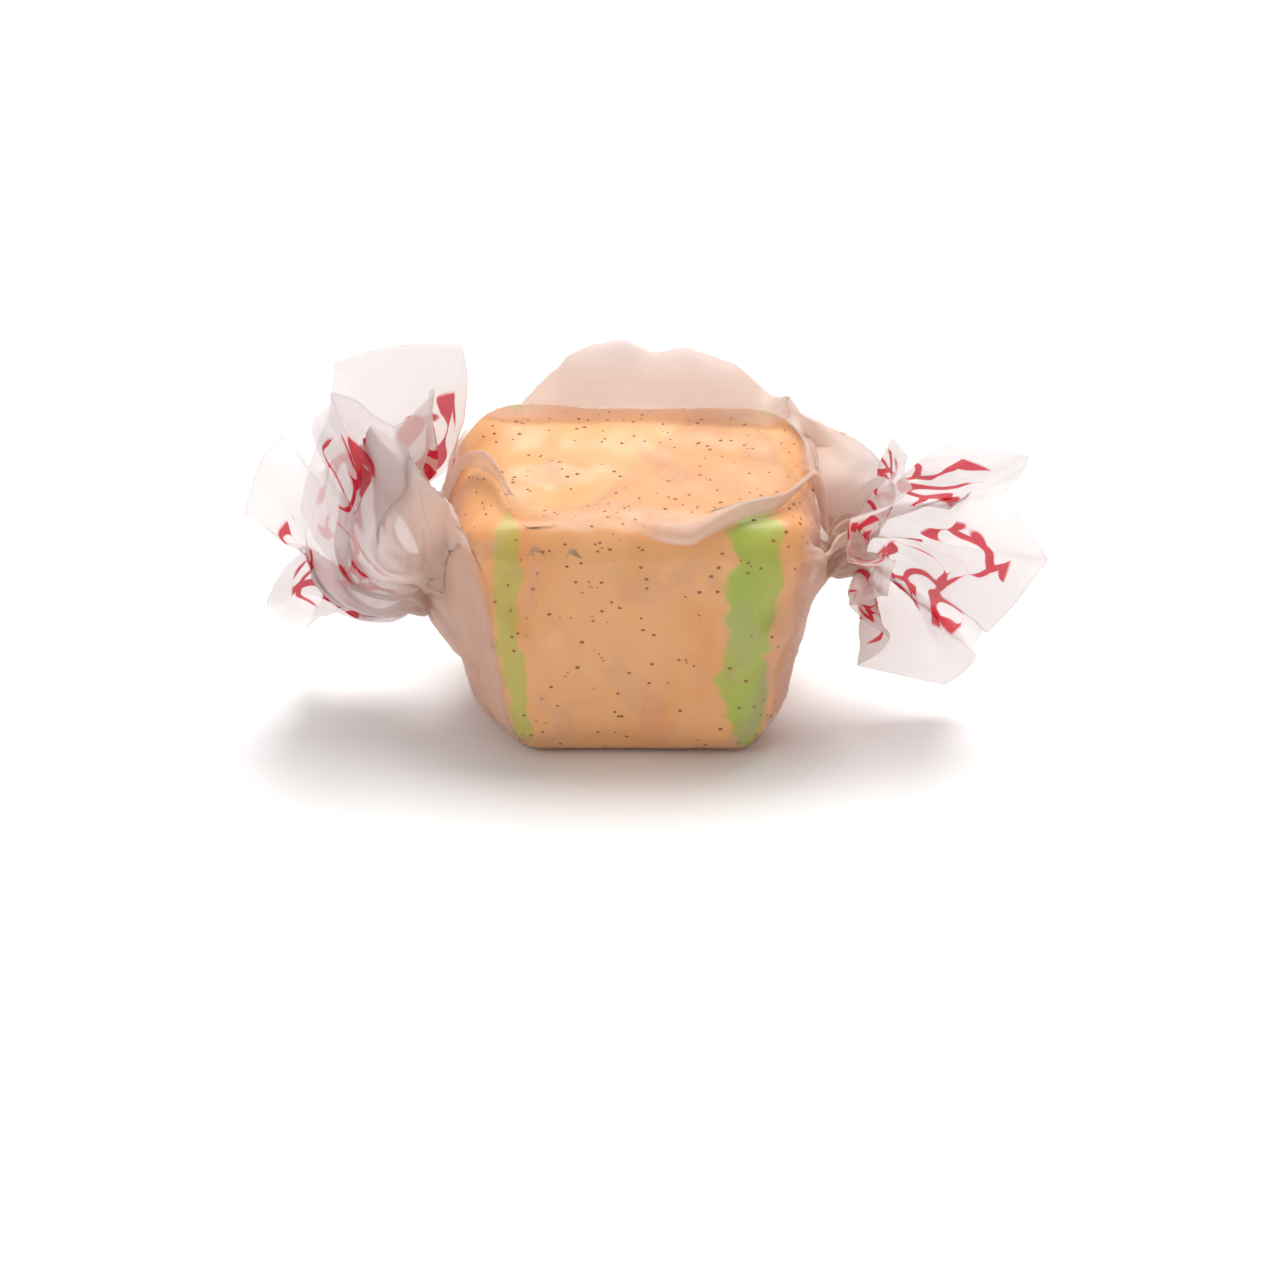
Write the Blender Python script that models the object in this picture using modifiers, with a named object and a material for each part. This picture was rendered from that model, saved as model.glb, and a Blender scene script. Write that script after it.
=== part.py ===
"""Salt water taffy: one soft striped chunk cut from a rope, wrapped in waxed paper with a twist at each end.

The candy stands on its lower cut face. X runs along the line of the twists, the front faces -Y, +Z is up.
The origin is the middle of the flat patch of paper that it rests on. Sizes below are in millimetres.
"""

import math

import bmesh
import bpy
from mathutils import Quaternion, Vector

MM = 0.001

# The paper, with the gap that keeps it off the taffy
PAPER_THICKNESS = 0.25
GAP = 0.3
SKIN = PAPER_THICKNESS + GAP

# The taffy chunk: its section across the twist line is a rounded rectangle
TAFFY_HEIGHT = 16.6
TAFFY_DEPTH = 20.6
TOP_RADIUS = 2.2
BASE_RADIUS = 3.6
SHOULDER_X = 8.8
TIP_X = 12.7
LEFT_TIP_X = 14.6
BASE_SHARE = 0.77
CROWN = 0.6
BULGE = 0.045
BACK_RISE = 1.1
TAFFY_SEGMENTS = 44
TAFFY_RINGS = 26

# The green ribbons that run down the four corners of the rope
STRIPE_RADIUS = 1.7
STRIPE_GAP = 0.3
STRIPE_SIDES = 3
STRIPE_STEPS = 8
STRIPE_OVERSHOOT = 3.0
STRIPE_WAVE_RATE = 7.0

# The sheet of paper round it: its overlap, its free front edge, and the loose fold that stands up at the back
NECK_HEIGHT = 12.0
WRAP_HEIGHT = TAFFY_HEIGHT + 2.0 * SKIN
WRAP_DEPTH = TAFFY_DEPTH + 2.0 * SKIN
SHEET_OVERLAP = 0.13
SHEET_START = -0.025
FAN_SLIT = 0.03
LAP_START = 0.78
LAP_SPAN = 0.09
LIP_RISE = 0.9
LIP_LENGTH = 2.6
FOLD_HEIGHT = 4.7
FOLD_LEAN = 0.9
FOLD_AROUND = 0.78
FOLD_SPAN = 0.05
FOLD_LEFT_END = -9.5
FOLD_TOP_START = -3.0
FOLD_TOP_END = 3.0
FOLD_RIGHT_END = 15.0
PLEAT_RISE = 0.5

# Each row of the sheet: its distance along the paper, how far its section has closed on the neck, and how far
# out it lies to the left and to the right
PROFILE = (
    (0.0, 1.0, 0.0, 0.0),
    (3.0, 1.0, 3.0, 3.0),
    (6.0, 1.0, 6.0, 6.0),
    (8.8, 1.0, 8.8, 8.8),
    (10.1, 0.965, 10.4, 10.05),
    (11.6, 0.875, 12.2, 11.25),
    (13.5, 0.725, 13.9, 12.5),
    (15.5, 0.555, 15.0, 13.3),
    (17.5, 0.39, 15.7, 13.85),
    (19.4, 0.275, 16.2, 14.5),
    (20.8, 0.215, 16.6, 15.1),
    (21.8, 0.19, 17.0, 15.7),
    (22.8, 0.18, 17.5, 16.4),
)
NECK_END = PROFILE[-1][0]
NECK_NARROW = BASE_SHARE + (1.0 - BASE_SHARE) * NECK_HEIGHT / WRAP_HEIGHT
CLOSING_START = 8.8
CLOSED = 13.4
GATHER_START = 11.5
GATHER_END = 19.6
TWIST_START = 14.0
TWIST_DEGREES = 45.0
NECK_TIP = 2.4
NECK_VALLEY = 2.2

# The fans: where each fold ends at the sheet's cut edge; the folds stand at even steps of the sheet, from the
# edge that lies under, over the front, the base and the back, to the free edge on the top
FAN_ROWS = 6
FAN_LEAN_RATE = 1.5
WALL_COLUMNS = 4
LEFT_FAN = {
    "side": -1.0,
    "profile_column": 2,
    "neck_height": 9.0,
    "length": 15.0,
    "fold_ends": (
        (-14.4, 2.2, 21.5),
        (-14.3, 1.0, 23.3),
        (-16.6, -5.8, 23.4),
        (-21.2, -1.8, 24.2),
        (-21.9, -5.4, 23.9),
        (-21.4, -8.2, 21.2),
        (-24.0, -8.8, 23.7),
        (-27.0, -6.4, 17.1),
        (-22.8, -2.6, 13.1),
        (-25.9, -4.8, 9.7),
        (-23.7, 4.6, 3.5),
        (-20.6, 3.6, 7.5),
        (-24.0, 4.8, 12.6),
        (-22.0, 7.4, 18.5),
        (-21.5, 7.0, 22.9),
        (-12.3, 4.4, 25.3),
        (-12.0, 2.8, 21.6),
    ),
}
RIGHT_FAN = {
    "side": 1.0,
    "profile_column": 3,
    "neck_height": 12.0,
    "length": 15.0,
    "fold_ends": (
        (17.5, -1.2, 20.6),
        (18.1, -6.4, 21.1),
        (18.4, -8.2, 19.8),
        (14.2, -7.4, 17.5),
        (14.3, -8.5, 14.6),
        (17.4, -9.8, 15.4),
        (17.3, -4.4, 10.2),
        (14.3, -3.8, 9.2),
        (17.3, -3.2, 6.2),
        (15.2, -1.6, 3.4),
        (21.4, -1.8, 2.0),
        (23.7, -0.3, 3.8),
        (23.1, -9.8, 9.7),
        (27.9, -8.0, 14.3),
        (24.6, -8.0, 19.3),
        (26.1, -10.0, 23.0),
        (20.8, -1.4, 20.2),
    ),
}
WALLS = len(LEFT_FAN["fold_ends"]) - 1
COLUMNS = WALLS * WALL_COLUMNS


def clear_scene():
    for obj in list(bpy.data.objects):
        bpy.data.objects.remove(obj)


def new_collection(name):
    collection = bpy.data.collections.new(name)
    bpy.context.scene.collection.children.link(collection)
    return collection


def make_material(name, colour, roughness):
    material = bpy.data.materials.new(name)
    material.use_nodes = True
    shader = material.node_tree.nodes["Principled BSDF"]
    shader.inputs["Base Color"].default_value = (*colour, 1.0)
    shader.inputs["Roughness"].default_value = roughness
    shader.inputs["Metallic"].default_value = 0.0
    return material


def add_object(name, mesh, collection, material=None):
    obj = bpy.data.objects.new(name, mesh)
    if material is not None:
        obj.data.materials.append(material)
    collection.objects.link(obj)
    return obj


def smooth_step(value):
    value = min(max(value, 0.0), 1.0)
    return value * value * (3.0 - 2.0 * value)


def mix(first, second, share):
    return first + (second - first) * share


def rounded_section(share, depth, low, high):
    """(y, z) at this share of the way round a rounded rectangle, from mid-top over the front."""
    share = share % 1.0
    side = -1.0 if share <= 0.5 else 1.0
    half = depth / 2.0
    pieces = (
        half - TOP_RADIUS,
        TOP_RADIUS * math.pi / 2.0,
        high - low - TOP_RADIUS - BASE_RADIUS,
        BASE_RADIUS * math.pi / 2.0,
        half - BASE_RADIUS,
    )
    left = min(share, 1.0 - share) * 2.0 * sum(pieces)
    if left <= pieces[0]:
        return side * left, high
    left -= pieces[0]
    if left <= pieces[1]:
        angle = left / TOP_RADIUS
        across = half - TOP_RADIUS * (1.0 - math.sin(angle))
        return side * across, high - TOP_RADIUS * (1.0 - math.cos(angle))
    left -= pieces[1]
    if left <= pieces[2]:
        return side * half, high - TOP_RADIUS - left
    left -= pieces[2]
    if left <= pieces[3]:
        angle = left / BASE_RADIUS
        across = half - BASE_RADIUS * (1.0 - math.cos(angle))
        return side * across, low + BASE_RADIUS * (1.0 - math.sin(angle))
    left -= pieces[3]
    return side * (half - BASE_RADIUS - left), low


def section_length(depth, low, high):
    straight = 2.0 * (depth + high - low) - 4.0 * (TOP_RADIUS + BASE_RADIUS)
    return straight + math.pi * (TOP_RADIUS + BASE_RADIUS)


def soften(x, y, z, share):
    """The taper to the base, the domed top that rises to the back, and the bulged sides, by this share."""
    height = min(max(z / WRAP_HEIGHT, 0.0), 1.0)
    narrow = mix(BASE_SHARE, 1.0, height)
    narrow = mix(NECK_NARROW, narrow, share)
    across = min(abs(y) / (WRAP_DEPTH / 2.0), 1.0)
    along = min(abs(x) / TIP_X, 1.0)
    crown = CROWN * height * (1.0 - across * across) * (1.0 - along * along)
    bulge = BULGE * math.sin(math.pi * height)
    back = smooth_step((y / WRAP_DEPTH + 0.15) / 0.6)
    rise = crown + BACK_RISE * height * height * back * (1.0 - 0.25 * x / TIP_X)
    return x * narrow, y * (1.0 + bulge * share), z + rise * share


def taffy_point(x_share, around_share):
    """A point of the chunk: x_share runs from one tip at -1 to the other at 1."""
    neck = LEFT_FAN["neck_height"] if x_share < 0.0 else RIGHT_FAN["neck_height"]
    tip_x = LEFT_TIP_X if x_share < 0.0 else TIP_X
    angle = x_share * math.pi / 2.0
    shoulder_angle = math.pi / 4.0
    if abs(angle) < shoulder_angle:
        x = SHOULDER_X * angle / shoulder_angle
        closing = 1.0
    else:
        turn = (abs(angle) - shoulder_angle) / (math.pi / 2.0 - shoulder_angle) * math.pi / 2.0
        x = math.copysign(SHOULDER_X + (tip_x - SHOULDER_X) * math.sin(turn), angle)
        closing = math.cos(turn)
    y, z = rounded_section(around_share, TAFFY_DEPTH, SKIN, SKIN + TAFFY_HEIGHT)
    z = neck + (z - neck) * closing
    return soften(x, y * closing, z, 1.0)


def make_taffy(collection, material):
    """The chunk starts as a sphere with its poles on the twist line; each point moves out to the soft form."""
    bm = bmesh.new()
    bmesh.ops.create_uvsphere(bm, u_segments=TAFFY_SEGMENTS, v_segments=TAFFY_RINGS, radius=1.0)
    for vert in bm.verts:
        x_share = math.asin(min(max(vert.co.z, -1.0), 1.0)) / (math.pi / 2.0)
        around = math.atan2(vert.co.y, vert.co.x) / (2.0 * math.pi)
        vert.co = Vector(taffy_point(x_share, around)) * MM
    bmesh.ops.recalc_face_normals(bm, faces=bm.faces)
    mesh = bpy.data.meshes.new("taffy")
    bm.to_mesh(mesh)
    bm.free()
    mesh.shade_smooth()
    return add_object("taffy", mesh, collection, material)


def stripe_cutter(name, corner, radius, collection):
    """A wavy upright tube on one corner of the chunk, as a plain mesh."""
    top_x, base_x, y, wave = corner
    curve = bpy.data.curves.new(name, "CURVE")
    curve.dimensions = "3D"
    curve.bevel_depth = radius * MM
    curve.bevel_resolution = STRIPE_SIDES
    curve.use_fill_caps = True
    spline = curve.splines.new("POLY")
    spline.points.add(STRIPE_STEPS)
    for index, point in enumerate(spline.points):
        share = index / STRIPE_STEPS
        z = mix(-STRIPE_OVERSHOOT, WRAP_HEIGHT + STRIPE_OVERSHOOT, share)
        x = mix(base_x, top_x, share) + wave * math.sin(share * STRIPE_WAVE_RATE)
        point.co = (x * MM, y * MM, z * MM, 1.0)
    tube = bpy.data.objects.new(name, curve)
    collection.objects.link(tube)
    graph = bpy.context.evaluated_depsgraph_get()
    mesh = bpy.data.meshes.new_from_object(tube.evaluated_get(graph))
    bm = bmesh.new()
    bm.from_mesh(mesh)
    bmesh.ops.remove_doubles(bm, verts=bm.verts, dist=1e-6)
    bmesh.ops.recalc_face_normals(bm, faces=bm.faces)
    bm.to_mesh(mesh)
    bm.free()
    cutter = add_object(name + "_cutter", mesh, collection)
    cutter.matrix_world = tube.matrix_world
    bpy.data.objects.remove(tube)
    cutter.hide_render = True
    cutter.display_type = "WIRE"
    return cutter


def add_boolean(obj, cutter, operation):
    modifier = obj.modifiers.new(cutter.name, "BOOLEAN")
    modifier.operation = operation
    modifier.solver = "EXACT"
    modifier.object = cutter
    return modifier


def make_stripes(taffy, collection, cutters, material):
    """Four green ribbons, each let into its own groove down the whole chunk."""
    front = -TAFFY_DEPTH / 2.0 + 0.2
    back = TAFFY_DEPTH / 2.0 - 0.2
    corners = {
        "stripe_front_left": (-8.9, -7.0, front + 0.5, 0.25),
        "stripe_front_right": (7.6, 6.6, front, 0.3),
        "stripe_back_left": (-8.2, -6.6, back, -0.25),
        "stripe_back_right": (8.9, 7.0, back - 0.5, -0.2),
    }
    chunk = taffy.data.copy()
    for name, corner in corners.items():
        groove = stripe_cutter(name + "_groove", corner, STRIPE_RADIUS + STRIPE_GAP, cutters)
        ribbon = stripe_cutter(name + "_ribbon", corner, STRIPE_RADIUS, cutters)
        stripe = add_object(name, chunk.copy(), collection)
        stripe.data.materials.clear()
        stripe.data.materials.append(material)
        add_boolean(stripe, ribbon, "INTERSECT")
        add_boolean(taffy, groove, "DIFFERENCE")


def neck_loop(around):
    """(y, z) of the pleated neck round its own centre: one pleat to each pair of the fan's walls."""
    wave = 0.5 + 0.5 * math.cos(math.pi * WALLS * around)
    radius = mix(NECK_VALLEY, NECK_TIP, wave)
    angle = 2.0 * math.pi * (FAN_SLIT / 2.0 + around * (1.0 - FAN_SLIT))
    return -radius * math.sin(angle), radius * math.cos(angle)


def fan_offset(fan, around, spread):
    """The way from the neck's end: the fan leans to its own axis as its folds run to the cut edge."""
    loop_y, loop_z = neck_loop(around)
    neck_x = PROFILE[-1][fan["profile_column"]] * NECK_NARROW
    centre = Vector((fan["side"] * neck_x, 0.0, fan["neck_height"]))
    ends = [Vector(end) - centre for end in fan["fold_ends"]]
    place = min(around * WALLS, WALLS - 1e-9)
    edge = ends[int(place)].lerp(ends[int(place) + 1], place - int(place))
    axis = sum(ends, Vector())
    turn = Vector((fan["side"], 0.0, 0.0)).rotation_difference(axis)
    upright = Vector((0.0, loop_y, loop_z)).lerp(turn.inverted() @ edge, spread)
    return Quaternion().slerp(turn, smooth_step(spread * FAN_LEAN_RATE)) @ upright


def profile_at(distance, fan):
    """(x, closing) of the row at this distance from the middle of the sheet, up to the end of the neck."""
    column = fan["profile_column"]
    for first, second in zip(PROFILE, PROFILE[1:]):
        if distance <= second[0]:
            share = (distance - first[0]) / (second[0] - first[0])
            return mix(first[column], second[column], share), mix(first[1], second[1], share)
    return PROFILE[-1][column], PROFILE[-1][1]


def profile_normal(distance, fan):
    """(x, outward) parts of the sheet's normal: straight out over the body, along X at the necks."""
    centre = min(max(distance, 0.4), NECK_END - 0.4)
    ahead = profile_at(centre + 0.4, fan)
    behind = profile_at(centre - 0.4, fan)
    run = ahead[0] - behind[0]
    drop = (behind[1] - ahead[1]) * WRAP_DEPTH / 2.0
    length = math.hypot(run, drop)
    return drop / length, run / length


def sheet_rows():
    """Signed distances of the sheet's rows from its middle, from the left edge to the right edge."""
    rows = []
    for fan in (LEFT_FAN, RIGHT_FAN):
        rows += [fan["side"] * row[0] for row in PROFILE[1:]]
        rows += [fan["side"] * (NECK_END + fan["length"] * (step + 1) / FAN_ROWS) for step in range(FAN_ROWS)]
    return sorted(rows + [0.0])


def body_section(around, slip):
    """(y, z) and the way out of the sheet round the chunk; slip lets its overlapped edges draw apart."""
    turns = mix(1.0 + SHEET_OVERLAP, 1.0 - FAN_SLIT, slip)
    share = mix(SHEET_START, FAN_SLIT / 2.0, slip) + around * turns
    y, z = rounded_section(share, WRAP_DEPTH, 0.0, WRAP_HEIGHT)
    ahead = rounded_section(share + 1e-3, WRAP_DEPTH, 0.0, WRAP_HEIGHT)
    behind = rounded_section(share - 1e-3, WRAP_DEPTH, 0.0, WRAP_HEIGHT)
    run_y, run_z = ahead[0] - behind[0], ahead[1] - behind[1]
    length = math.hypot(run_y, run_z)
    return y, z, run_z / length, -run_y / length


def back_fold(along, around):
    """How far the loose paper stands up along the back of the top face."""
    rise = smooth_step((along - FOLD_LEFT_END) / (FOLD_TOP_START - FOLD_LEFT_END))
    fall = smooth_step((FOLD_RIGHT_END - along) / (FOLD_RIGHT_END - FOLD_TOP_END))
    across = max(0.0, 1.0 - abs(around - FOLD_AROUND) / FOLD_SPAN)
    return FOLD_HEIGHT * rise * fall * across


def sheet_point(along, around):
    """A point of the outer face of the paper, from its place on the flat sheet."""
    distance = abs(along)
    fan = LEFT_FAN if along < 0.0 else RIGHT_FAN
    neck = fan["neck_height"]
    x, closing = profile_at(distance, fan)
    slip = smooth_step((distance - CLOSING_START) / (CLOSED - CLOSING_START))
    gather = smooth_step((distance - GATHER_START) / (GATHER_END - GATHER_START))
    y, z, out_y, out_z = body_section(around, slip)
    length = section_length(WRAP_DEPTH, 0.0, WRAP_HEIGHT) * (1.0 + SHEET_OVERLAP)
    over = SKIN * smooth_step((around - LAP_START) / LAP_SPAN)
    edge = (1.0 - around) * length
    lip = LIP_RISE * (1.0 - smooth_step(edge / LIP_LENGTH)) * (1.0 - slip)
    pleat = PLEAT_RISE * (0.5 + 0.5 * math.cos(math.pi * WALLS * around)) * slip * (1.0 - gather)
    rise = (over + lip) * (1.0 - gather) + pleat
    fold = back_fold(along, around) * (1.0 - gather)
    normal_x, normal_out = profile_normal(distance, fan)
    x += rise * normal_x
    y = y * closing + out_y * rise * normal_out
    z = neck + (z - neck) * closing + out_z * rise * normal_out
    x, y, z = soften(x, y, z, 1.0 - gather)
    y += fold / FOLD_HEIGHT * FOLD_LEAN
    z += fold - neck
    spread = max(0.0, distance - NECK_END) / fan["length"]
    fan_x, fan_y, fan_z = fan_offset(fan, around, spread)
    x += fan_x * fan["side"] * gather
    y = mix(y, fan_y, gather)
    z = mix(z, fan_z, gather)
    twist = math.radians(TWIST_DEGREES) * gather
    twist *= 1.0 - smooth_step((distance - TWIST_START) / (NECK_END - TWIST_START))
    turned_y = y * math.cos(twist) - z * math.sin(twist)
    turned_z = y * math.sin(twist) + z * math.cos(twist)
    return Vector((fan["side"] * x, turned_y, max(neck + turned_z, 0.0))) * MM


def make_wrapper(collection, material):
    """The paper starts as a flat grid; each point is carried to the body, the necks or the fans."""
    rows = sheet_rows()
    steps = len(rows) - 1
    bm = bmesh.new()
    bmesh.ops.create_grid(bm, x_segments=steps, y_segments=COLUMNS, size=1.0)
    for vert in bm.verts:
        row = round((vert.co.x + 1.0) / 2.0 * steps)
        column = round((vert.co.y + 1.0) / 2.0 * COLUMNS)
        vert.co = sheet_point(rows[row], column / COLUMNS)
    bmesh.ops.reverse_faces(bm, faces=bm.faces)
    mesh = bpy.data.meshes.new("wrapper")
    bm.to_mesh(mesh)
    bm.free()
    mesh.shade_smooth()
    wrapper = add_object("wrapper", mesh, collection, material)
    thickness = wrapper.modifiers.new("paper", "SOLIDIFY")
    thickness.thickness = PAPER_THICKNESS * MM
    thickness.offset = -1.0
    thickness.use_rim = True
    return wrapper


def main():
    clear_scene()
    candy = new_collection("salt_water_taffy")
    cutters = new_collection("cutters")
    taffy = make_taffy(candy, make_material("taffy_peach", (0.83, 0.50, 0.27), 0.45))
    make_stripes(taffy, candy, cutters, make_material("taffy_green", (0.33, 0.47, 0.10), 0.45))
    make_wrapper(candy, make_material("waxed_paper", (0.88, 0.84, 0.84), 0.4))


main()
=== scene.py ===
"""Salt water taffy in its twisted waxed paper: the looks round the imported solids.

Lengths in the forms below are in millimetres. X runs along the line of the twists, the front faces -Y, and
+Z is up. The sheet's own coordinates are "along", the distance from its middle to a cut end (negative to the
left), and "around", the share of its width: 0 at the edge that lies under, then over the front, the base and
the back to 1 at the free edge on the top.
"""
import math

import bpy
import numpy as np
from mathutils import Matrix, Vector
from mathutils.bvhtree import BVHTree


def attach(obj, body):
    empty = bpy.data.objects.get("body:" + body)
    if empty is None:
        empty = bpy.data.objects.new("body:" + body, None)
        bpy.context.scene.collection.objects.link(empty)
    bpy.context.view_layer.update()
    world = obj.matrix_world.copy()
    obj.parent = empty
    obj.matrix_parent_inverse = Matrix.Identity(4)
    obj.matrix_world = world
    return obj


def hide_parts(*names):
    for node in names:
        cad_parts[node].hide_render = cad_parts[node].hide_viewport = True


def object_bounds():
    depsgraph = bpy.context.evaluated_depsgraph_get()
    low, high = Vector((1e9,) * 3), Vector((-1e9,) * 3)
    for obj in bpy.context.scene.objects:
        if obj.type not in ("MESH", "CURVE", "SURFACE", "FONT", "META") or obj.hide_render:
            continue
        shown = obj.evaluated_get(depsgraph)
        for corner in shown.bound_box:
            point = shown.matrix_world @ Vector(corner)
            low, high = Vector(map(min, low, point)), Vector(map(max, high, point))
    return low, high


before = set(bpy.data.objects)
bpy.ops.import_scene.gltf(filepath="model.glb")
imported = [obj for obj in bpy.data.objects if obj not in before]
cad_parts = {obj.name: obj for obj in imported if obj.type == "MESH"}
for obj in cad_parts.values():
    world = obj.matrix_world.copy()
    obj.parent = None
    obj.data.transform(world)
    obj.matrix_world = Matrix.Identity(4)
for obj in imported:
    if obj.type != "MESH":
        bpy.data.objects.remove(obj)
CAD_LOW, CAD_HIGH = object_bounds()

MM = 0.001

# The solids' own sizes: the chunk, the sheet round it, and the skin of paper and gap between them
SKIN = 0.55
TAFFY_HEIGHT = 16.6
TAFFY_DEPTH = 20.6
TOP_RADIUS = 2.2
BASE_RADIUS = 3.6
SHOULDER_X = 8.8
TIP_X = 12.7
LEFT_TIP_X = 14.6
BASE_SHARE = 0.77
CROWN = 0.6
BULGE = 0.045
BACK_RISE = 1.1
NECK_HEIGHT = 12.0
WRAP_HEIGHT = TAFFY_HEIGHT + 2.0 * SKIN
WRAP_DEPTH = TAFFY_DEPTH + 2.0 * SKIN
SHEET_OVERLAP = 0.13
SHEET_START = -0.025
FAN_SLIT = 0.03
PLEAT_RISE = 0.7
PROFILE = (
    (0.0, 1.0, 0.0, 0.0),
    (3.0, 1.0, 3.0, 3.0),
    (6.0, 1.0, 6.0, 6.0),
    (8.8, 1.0, 8.8, 8.8),
    (10.1, 0.965, 10.4, 10.05),
    (11.6, 0.875, 12.2, 11.25),
    (13.5, 0.725, 13.9, 12.5),
    (15.5, 0.555, 15.0, 13.3),
    (17.5, 0.39, 15.7, 13.85),
    (19.4, 0.275, 16.2, 14.5),
    (20.8, 0.215, 16.6, 15.1),
    (21.8, 0.19, 17.0, 15.7),
    (22.8, 0.18, 17.5, 16.4),
)
NECK_END = PROFILE[-1][0]
NECK_NARROW = BASE_SHARE + (1.0 - BASE_SHARE) * NECK_HEIGHT / WRAP_HEIGHT
CLOSING_START = 8.8
CLOSED = 13.4
GATHER_START = 11.5
GATHER_END = 19.6
TWIST_START = 14.0
TWIST_DEGREES = 100.0
NECK_TIP = 2.2
NECK_VALLEY = 0.9
FAN_LEAN_RATE = 1.5
BELLY = 0.8
BELLY_REACH = 1.4
BELLY_INWARD = -0.6

# Where each fold of a fan ends at the sheet's cut edge, in the order of "around"
LEFT_FAN = {
    "side": -1.0,
    "profile_column": 2,
    "neck_height": 9.0,
    "length": 15.0,
    "fold_ends": (
        (-14.4, 2.2, 21.5),
        (-14.3, 1.0, 23.3),
        (-16.6, -5.8, 23.4),
        (-21.2, -1.8, 24.2),
        (-21.9, -5.4, 23.9),
        (-21.4, -8.2, 21.2),
        (-24.0, -8.8, 23.7),
        (-27.0, -6.4, 17.1),
        (-22.8, -2.6, 13.1),
        (-25.9, -4.8, 9.7),
        (-23.7, 4.6, 3.5),
        (-20.6, 3.6, 7.5),
        (-24.0, 4.8, 12.6),
        (-22.0, 7.4, 18.5),
        (-21.5, 7.0, 22.9),
        (-12.3, 4.4, 25.3),
        (-12.0, 2.8, 21.6),
    ),
}
RIGHT_FAN = {
    "side": 1.0,
    "profile_column": 3,
    "neck_height": 12.0,
    "length": 15.0,
    "fold_ends": (
        (17.5, -1.2, 20.6),
        (18.1, -6.4, 21.1),
        (18.4, -8.2, 19.8),
        (14.2, -7.4, 17.5),
        (14.3, -8.5, 14.6),
        (17.4, -9.8, 15.4),
        (17.3, -4.4, 10.2),
        (14.3, -3.8, 9.2),
        (17.3, -3.2, 6.2),
        (15.2, -1.6, 3.4),
        (21.4, -1.8, 2.0),
        (23.7, -0.3, 3.8),
        (23.1, -9.8, 9.7),
        (27.9, -8.0, 14.3),
        (24.6, -8.0, 19.3),
        (26.1, -10.0, 23.0),
        (20.8, -1.4, 20.2),
    ),
}

# Folds that pull the sheet to lines in space: how wide the pull is before and after the crest, at its two
# ends; how milky the paper is before and after it, and how fast that comes up from the pull's edge; and the
# crest's (along, around) in the sheet with its place in space
PAPER_FOLDS = (
    {
        "name": "fin down the left corner",
        "before": (1.0, 6.0),
        "after": (3.2, 5.0),
        "milky": (0.0, 0.75),
        "fade": 1.0,
        "crest": (
            (-9.4, 0.345, -7.8, -9.2, 1.8),
            (-10.9, 0.27, -9.8, -10.8, 7.5),
            (-12.0, 0.21, -10.9, -10.6, 12.4),
            (-13.6, 0.16, -12.9, -8.6, 17.2),
            (-17.0, 0.115, -14.8, -5.2, 19.4),
            (-21.0, 0.075, -16.2, -3.8, 21.2),
            (-25.0, 0.05, -18.4, -3.6, 22.6),
        ),
    },
    {
        "name": "fin down the right corner",
        "before": (1.0, 3.5),
        "after": (2.2, 3.5),
        "milky": (0.0, 0.3),
        "fade": 1.0,
        "crest": (
            (9.2, 0.35, 6.8, -9.3, 1.8),
            (10.8, 0.29, 9.1, -10.3, 5.2),
            (12.0, 0.23, 11.0, -9.4, 9.6),
            (14.2, 0.17, 13.5, -5.8, 13.8),
            (18.0, 0.12, 15.3, -3.2, 15.6),
        ),
    },
    {
        "name": "loose paper behind the top",
        "before": (3.6, 3.6),
        "after": (3.6, 3.6),
        "milky": (0.42, 0.42),
        "fade": 6.0,
        "crest": (
            (-9.6, 0.79, -8.6, 9.2, 17.6),
            (-7.4, 0.79, -7.0, 9.6, 20.0),
            (-4.9, 0.79, -4.9, 9.8, 22.4),
            (-1.4, 0.79, -1.1, 10.2, 23.9),
            (1.2, 0.79, 1.3, 10.0, 22.7),
            (3.6, 0.79, 3.6, 10.0, 23.2),
            (8.6, 0.79, 8.5, 9.2, 20.4),
            (12.6, 0.80, 12.0, 6.8, 18.6),
            (16.5, 0.83, 16.2, 3.8, 17.8),
            (20.5, 0.86, 17.3, 1.4, 16.6),
        ),
    },
    {
        "name": "crease at the foot of the left corner",
        "before": (1.2, 1.2),
        "after": (0.7, 0.7),
        "milky": (0.0, 0.0),
        "fade": 1.0,
        "crest": (
            (-9.0, 0.355, -7.4, -8.9, 1.2),
            (-6.0, 0.345, -5.0, -9.9, 1.6),
            (-2.0, 0.352, -1.6, -9.4, 1.1),
            (1.5, 0.37, 1.2, -8.3, 0.3),
        ),
    },
    {
        "name": "short crease under the free edge, left",
        "before": (0.6, 0.6),
        "after": (0.4, 0.4),
        "milky": (0.0, 0.0),
        "fade": 1.0,
        "crest": (
            (-7.1, 0.168, -7.1, -11.0, 16.8),
            (-7.0, 0.19, -7.0, -11.3, 15.2),
            (-7.0, 0.20, -6.9, -11.0, 14.4),
        ),
    },
    {
        "name": "short crease under the free edge, right",
        "before": (0.5, 0.5),
        "after": (0.4, 0.4),
        "milky": (0.0, 0.0),
        "fade": 1.0,
        "crest": (
            (-4.6, 0.17, -4.6, -11.0, 16.7),
            (-4.3, 0.19, -4.3, -11.3, 15.3),
            (-4.0, 0.198, -4.0, -11.0, 14.6),
        ),
    },
)

# How round a crest is, how many points it has to a span and how many of them soften it, how far out in the
# sheet a pull can reach, and the width of the step from its milky side to its clear one
CREST_ROUNDING = 0.35
CREST_STEPS = 24
CREST_SOFTENING = 8
FOLD_REACH = 5.0
MILKY_EDGE = 0.8

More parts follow.
